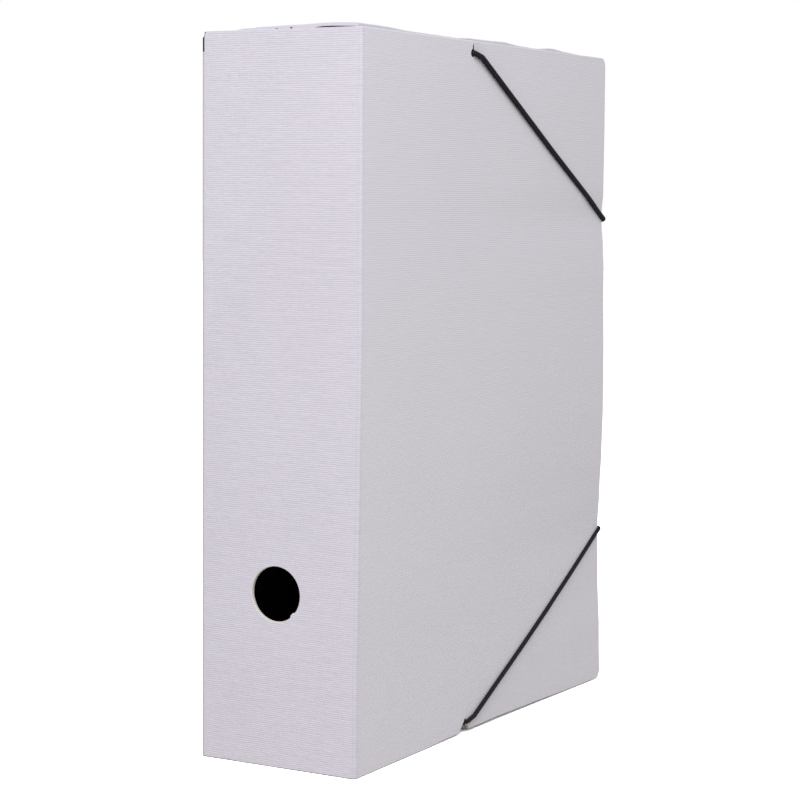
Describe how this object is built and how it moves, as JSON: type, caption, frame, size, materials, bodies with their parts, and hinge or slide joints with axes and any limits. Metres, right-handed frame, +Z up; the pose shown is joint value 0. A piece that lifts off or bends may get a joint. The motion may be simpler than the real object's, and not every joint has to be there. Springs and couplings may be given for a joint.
{
  "type": "box file",
  "caption": "Upright linen-covered board box file with a hinged lid, a finger hole in its spine and two corner elastics.",
  "frame": {"origin": "middle of the underside of the tray's bottom wall, on the surface that the box file stands on", "axes": "+X from the spine to the fore-edge, +Y from the lid to the back panel, +Z up"},
  "size_m": [0.2533, 0.0884, 0.33],
  "materials": {
    "cover_linen": "matt linen-embossed paper over board",
    "spine_linen": "matt linen-embossed paper over board",
    "elastic": "braided sheath, matt",
    "crimp": "satin"
  },
  "bodies": {
    "tray": {"tray": "cover_linen", "upper_elastic": "elastic", "lower_elastic": "elastic", "upper_crimp_sleeve": "crimp", "lower_crimp_sleeve": "crimp"},
    "spine": {"spine_panel": "spine_linen"},
    "lid": {"lid_panel": "cover_linen"}
  },
  "joints": [
    {"name": "spine_hinge", "type": "hinge", "parent": "tray", "child": "spine", "pos_m": [-0.125, 0.041, 0.165], "axis": [0, 0, -1], "range_deg": [0, 90]},
    {"name": "lid_hinge", "type": "hinge", "parent": "spine", "child": "lid", "pos_m": [-0.125, -0.041, 0.165], "axis": [0, 0, -1], "range_deg": [0, 180], "deforming": ["upper_elastic", "lower_elastic"]}
  ]
}
